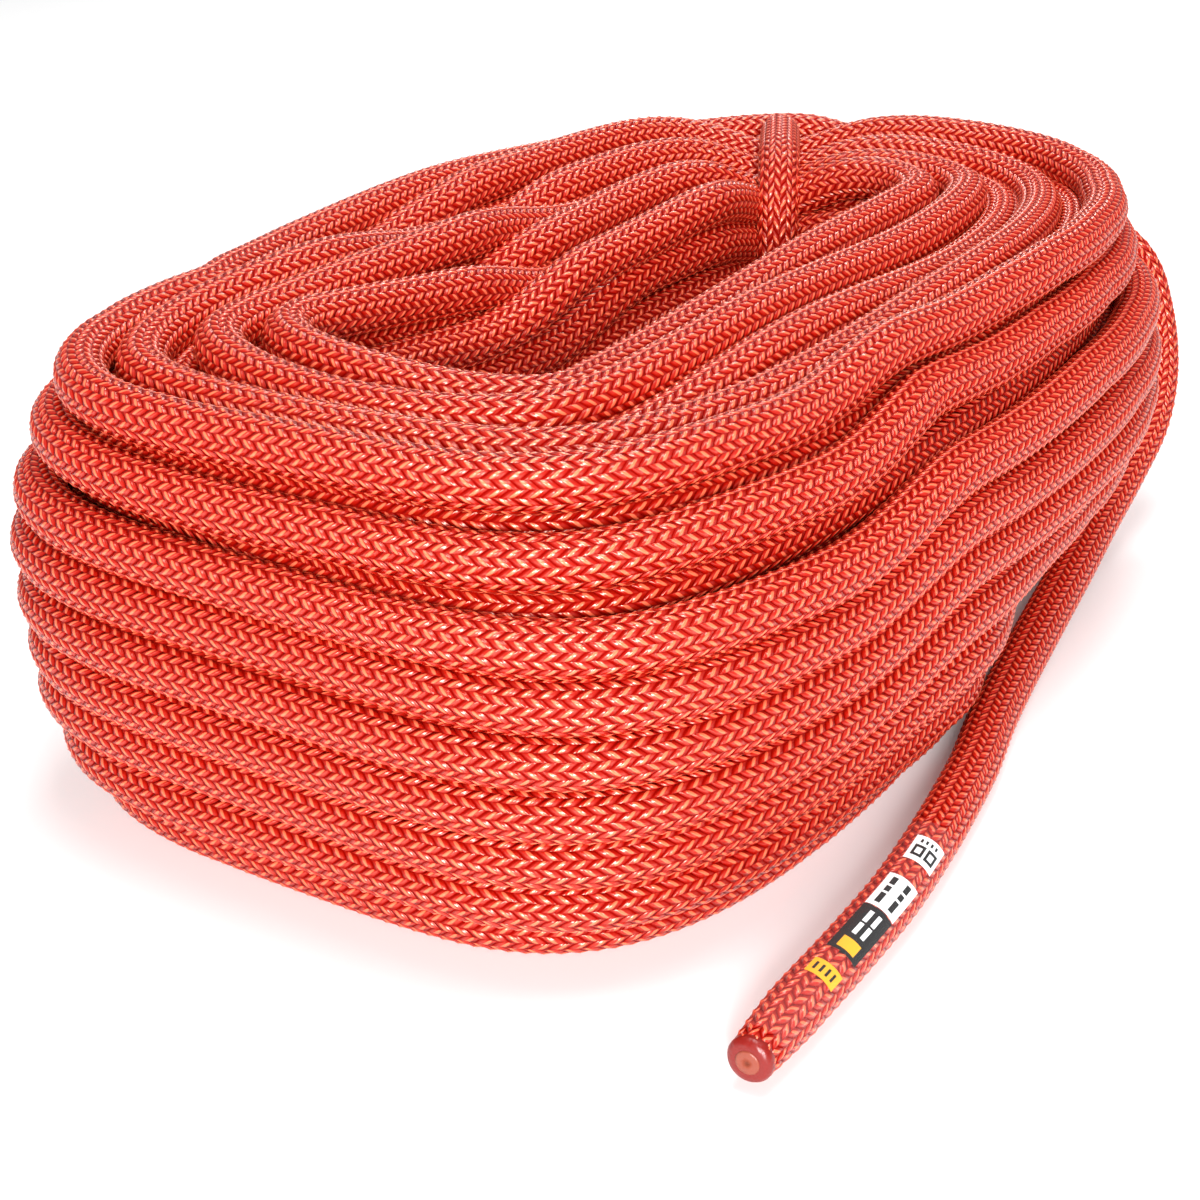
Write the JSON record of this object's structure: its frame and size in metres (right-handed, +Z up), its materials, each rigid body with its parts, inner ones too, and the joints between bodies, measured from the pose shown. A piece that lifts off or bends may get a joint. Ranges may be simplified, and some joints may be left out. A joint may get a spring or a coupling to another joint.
{
  "type": "climbing rope coil",
  "caption": "Red kernmantle climbing rope wound into an oval coil, bound by its own inner end, with a labelled, sleeved outer end lying free.",
  "frame": {"origin": "middle of the bounding box, on the surface that the coil lies on", "axes": "+Z up, out of the coil's flat side; +X along the coil's long side, towards the binding turn"},
  "size_m": [0.3143, 0.2107, 0.0965],
  "materials": {
    "sheath": "red braided polyamide sheath, two over two herringbone weave, slight sheen",
    "melted_end": "rope end cut and melted shut",
    "core": "white twisted polyamide core strands",
    "tape": "thin plastic marker film inside the core",
    "yellow_print": null,
    "black_print": null,
    "white_print": null,
    "clear_sleeve": "clear heat-shrunk sleeve over the end labels"
  },
  "bodies": {
    "root": {"rope_coil": "sheath", "binding_turn": "sheath", "inner_end_seal": "melted_end", "free_end_sheath": "sheath", "core_strand_0": "core", "core_strand_1": "core", "core_strand_2": "core", "core_strand_3": "core", "core_strand_4": "core", "core_strand_5": "core", "core_strand_6": "core", "marker_tape": "tape", "batch_label": "yellow_print", "maker_label": "black_print", "standard_label": "white_print", "length_label": "white_print", "end_sleeve": "clear_sleeve", "end_seal": "melted_end"}
  },
  "joints": []
}
